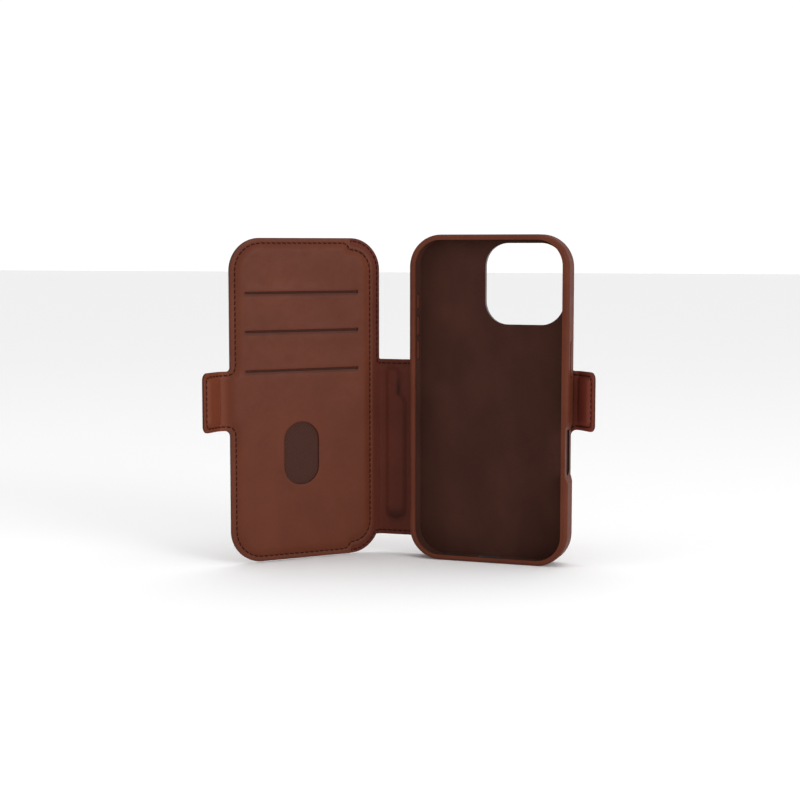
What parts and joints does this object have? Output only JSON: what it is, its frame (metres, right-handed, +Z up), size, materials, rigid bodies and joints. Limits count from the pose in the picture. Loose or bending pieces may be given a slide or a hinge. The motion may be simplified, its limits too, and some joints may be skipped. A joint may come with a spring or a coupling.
{
  "type": "phone wallet case",
  "caption": "Folding leather phone wallet: lined phone shell on a magnetic back leaf, spine, card-pocket cover with thumb window, and magnetic closing tabs.",
  "frame": {"origin": "on the surface it stands on, under the middle of the open case's box", "axes": "+Z up along the case's height, +X across the open case towards the phone shell's free side, -Y the way the open shell faces"},
  "size_m": [0.1681, 0.0745, 0.154],
  "materials": {
    "shell_hide": "smooth semi-matt",
    "hide": "smooth semi-matt",
    "pocket_hide": "smooth semi-matt",
    "lining_hide": "smooth matt",
    "tab_hide": "smooth semi-matt",
    "microfibre": "brushed nap",
    "twill": "fine twill weave",
    "thread": "waxed thread",
    "board": "raw",
    "tray": "matt moulded",
    "ring": "satin",
    "key": "leather covered",
    "magnet": "nickel plated",
    "steel": "plain"
  },
  "bodies": {
    "back_panel": {"back_leather": "hide", "back_board": "board", "back_magnets": "magnet", "back_lining": "microfibre", "back_thread": "thread"},
    "phone_shell": {"shell_tray": "tray", "shell_leather": "shell_hide", "shell_lining": "microfibre", "shell_steel_plate": "steel", "camera_ring": "ring"},
    "side_key": {"side_button": "key"},
    "volume_up_key": {"volume_up_button": "key"},
    "volume_down_key": {"volume_down_button": "key"},
    "action_key": {"action_button": "key"},
    "spine": {"spine_leather": "hide", "spine_board": "board", "spine_lining": "lining_hide", "spine_thread": "thread"},
    "cover": {"cover_leather": "hide", "cover_board": "board", "cover_lining": "lining_hide", "cover_thread": "thread", "pocket_backing": "twill", "pocket_divider_1": "twill", "pocket_divider_2": "twill", "pocket_divider_3": "twill", "pocket_face": "pocket_hide", "pocket_thread": "thread"},
    "cover_tab": {"cover_tab_leather": "hide", "cover_tab_lining": "tab_hide", "cover_tab_magnet": "magnet", "cover_tab_thread": "thread"},
    "back_tab": {"back_tab_leather": "hide", "back_tab_lining": "tab_hide", "back_tab_magnet": "magnet", "back_tab_thread": "thread"}
  },
  "joints": [
    {"name": "shell_slide", "type": "slide", "parent": "back_panel", "child": "phone_shell", "axis": [0, 0, 1], "range_m": [0, 0.06]},
    {"name": "spine_fold", "type": "hinge", "parent": "back_panel", "child": "spine", "pos_m": [-0.0072, 0.03685, 0.077], "axis": [0, 0, 1], "range_deg": [-92, 88]},
    {"name": "cover_fold", "type": "hinge", "parent": "spine", "child": "cover", "pos_m": [-0.02399, 0.03626, 0.077], "axis": [0, 0, 1], "range_deg": [-134.4, 45.6]},
    {"name": "cover_tab_flex", "type": "hinge", "parent": "cover", "child": "cover_tab", "pos_m": [-0.08013, -0.02268, 0.077], "axis": [0, 0, 1], "range_deg": [-45, 22]},
    {"name": "back_tab_flex", "type": "hinge", "parent": "back_panel", "child": "back_tab", "pos_m": [0.0721, 0.03685, 0.077], "axis": [0, 0, -1], "range_deg": [-45, 40]},
    {"name": "side_press", "type": "slide", "parent": "phone_shell", "child": "side_key", "axis": [-1, 0, 0], "range_m": [0, 0.0004], "stiffness_N_per_m": 1200},
    {"name": "volume_up_press", "type": "slide", "parent": "phone_shell", "child": "volume_up_key", "axis": [1, 0, 0], "range_m": [0, 0.0004], "stiffness_N_per_m": 1200},
    {"name": "volume_down_press", "type": "slide", "parent": "phone_shell", "child": "volume_down_key", "axis": [1, 0, 0], "range_m": [0, 0.0004], "stiffness_N_per_m": 1200},
    {"name": "action_press", "type": "slide", "parent": "phone_shell", "child": "action_key", "axis": [1, 0, 0], "range_m": [0, 0.0004], "stiffness_N_per_m": 1200}
  ]
}
